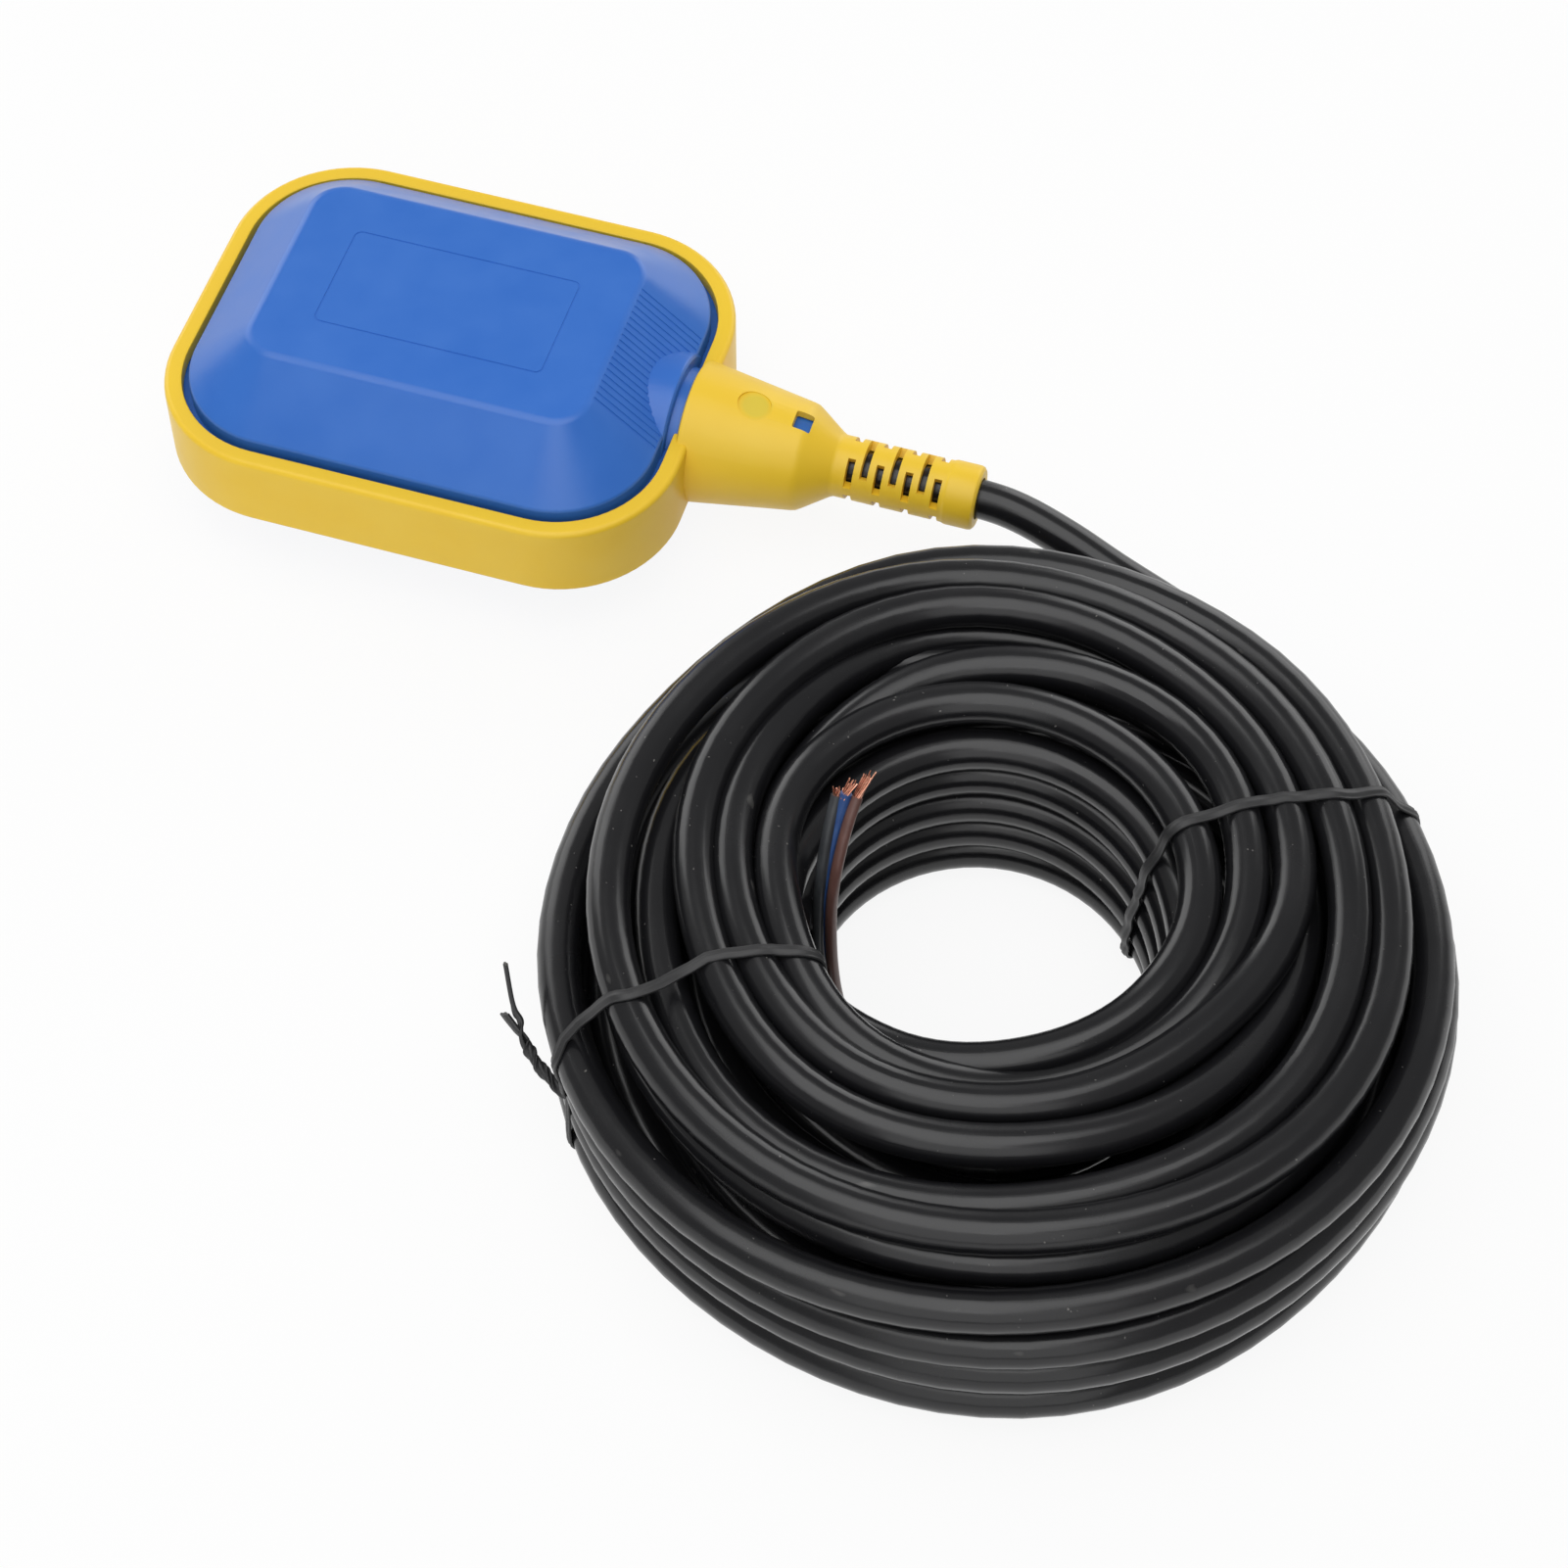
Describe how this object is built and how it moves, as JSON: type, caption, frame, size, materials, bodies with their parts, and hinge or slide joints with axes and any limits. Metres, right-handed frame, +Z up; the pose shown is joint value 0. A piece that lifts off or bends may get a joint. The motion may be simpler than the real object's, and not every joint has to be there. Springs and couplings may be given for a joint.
{
  "type": "cable float switch",
  "caption": "Tilt float switch: blue shells in a yellow frame with slotted strain relief, and a tied coil of black cable with bared cores",
  "frame": {"origin": "under the middle of the float and its strain relief, at the lower shell's flat face", "axes": "+X along the cable's axis out of the strain relief, +Y across the float, +Z up"},
  "size_m": [0.2694, 0.2218, 0.0546],
  "materials": {
    "blue_plastic": "satin moulded, fine grooves beside the cable boss",
    "yellow": "satin moulded",
    "capsule": "plain moulded",
    "steel": "bright",
    "brass": "bright",
    "switch": "plain moulded",
    "button": "plain moulded",
    "rubber": "matte",
    "cable": "satin sheath with soft highlights",
    "brown": "satin core insulation",
    "black": "satin core insulation",
    "blue": "satin core insulation",
    "copper": "bright copper strands",
    "tie": "plastic-coated wire tie"
  },
  "bodies": {
    "float": {"upper_shell": "blue_plastic", "lower_shell": "blue_plastic", "yellow_frame": "yellow", "capsule_base": "capsule", "capsule_cover": "capsule", "steel_ball": "steel", "lever_pin": "steel", "microswitch_case": "switch", "switch_pin_lower": "steel", "switch_pin_upper": "steel", "terminal_common": "brass", "terminal_spare": "brass", "terminal_switched": "brass", "wire_brown": "brown", "wire_black": "black", "wire_blue": "blue", "clamp_lower": "capsule", "clamp_upper": "capsule", "clamp_screw_left": "steel", "clamp_screw_right": "steel", "cable_seal": "rubber", "cable_lead": "cable", "cable_coil": "cable", "core_brown": "brown", "core_blue": "blue", "core_black": "black", "strands_brown": "copper", "strands_blue": "copper", "strands_black": "copper", "tie_left": "tie", "tie_right": "tie"},
    "lever": {"switch_lever": "steel"},
    "plunger": {"switch_plunger": "button"}
  },
  "joints": [
    {"name": "lever_pivot", "type": "hinge", "parent": "float", "child": "lever", "pos_m": [-0.029, 0, 0.01235], "axis": [0, 1, 0], "range_deg": [0, 6], "stiffness_Nm_per_rad": 0.02},
    {"name": "plunger_slide", "type": "slide", "parent": "float", "child": "plunger", "axis": [1, 0, 0], "range_m": [0, 0.00125]}
  ],
  "couplings": [
    {"joint": "plunger_slide", "follows": "lever_pivot", "m_per_rad": 0.0115}
  ]
}
